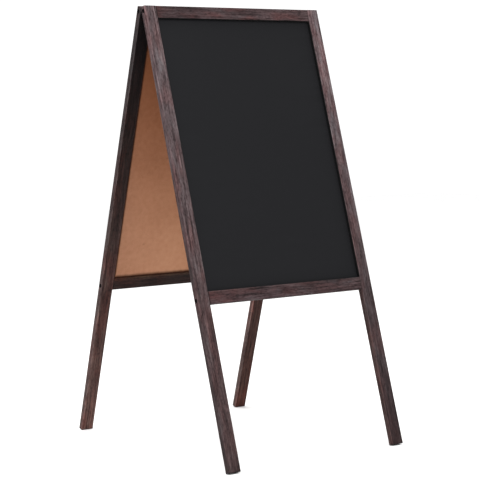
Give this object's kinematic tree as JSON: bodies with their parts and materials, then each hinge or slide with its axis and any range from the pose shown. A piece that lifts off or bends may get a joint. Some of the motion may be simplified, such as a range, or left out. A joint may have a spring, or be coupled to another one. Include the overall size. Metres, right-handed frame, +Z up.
{
  "type": "A-frame menu chalkboard",
  "caption": "Folding double-sided A-frame pavement chalkboard: two dark stained wooden frames with black writing panels, hinged together at the top.",
  "frame": {"origin": "on the floor, midway between the four feet, with the stand fully open", "axes": "+Z up; +X across the boards, to the right of someone reading the front board; +Y from the front board towards the rear board"},
  "size_m": [0.47, 0.6062, 0.9647],
  "materials": {
    "stained_wood": "dark grey-brown stain, satin, with open lengthwise grain",
    "chalkboard": "very matte near-black writing surface",
    "hardboard": "raw tan-brown fibreboard, smooth and unpainted, with fine dark specks",
    "black_screw": "black phosphate",
    "hinge_steel": "zinc-plated steel"
  },
  "bodies": {
    "front_frame": {"front_backing_board": "hardboard", "front_bottom_rail": "stained_wood", "front_chalk_sheet": "chalkboard", "front_left_frame_screws": "black_screw", "front_left_stile": "stained_wood", "front_right_frame_screws": "black_screw", "front_right_stile": "stained_wood", "front_top_rail": "stained_wood", "left_hinge_front_leaf": "hinge_steel", "left_hinge_front_screws": "hinge_steel", "left_hinge_pin": "hinge_steel", "right_hinge_front_leaf": "hinge_steel", "right_hinge_front_screws": "hinge_steel", "right_hinge_pin": "hinge_steel"},
    "rear_frame": {"left_hinge_rear_leaf": "hinge_steel", "left_hinge_rear_screws": "hinge_steel", "rear_backing_board": "hardboard", "rear_bottom_rail": "stained_wood", "rear_chalk_sheet": "chalkboard", "rear_left_frame_screws": "black_screw", "rear_left_stile": "stained_wood", "rear_right_frame_screws": "black_screw", "rear_right_stile": "stained_wood", "rear_top_rail": "stained_wood", "right_hinge_rear_leaf": "hinge_steel", "right_hinge_rear_screws": "hinge_steel"}
  },
  "joints": [
    {"name": "top_hinge", "type": "hinge", "parent": "front_frame", "child": "rear_frame", "pos_m": [0, 0, 0.95117], "axis": [-1, 0, 0], "range_deg": [0, 33.6]}
  ]
}
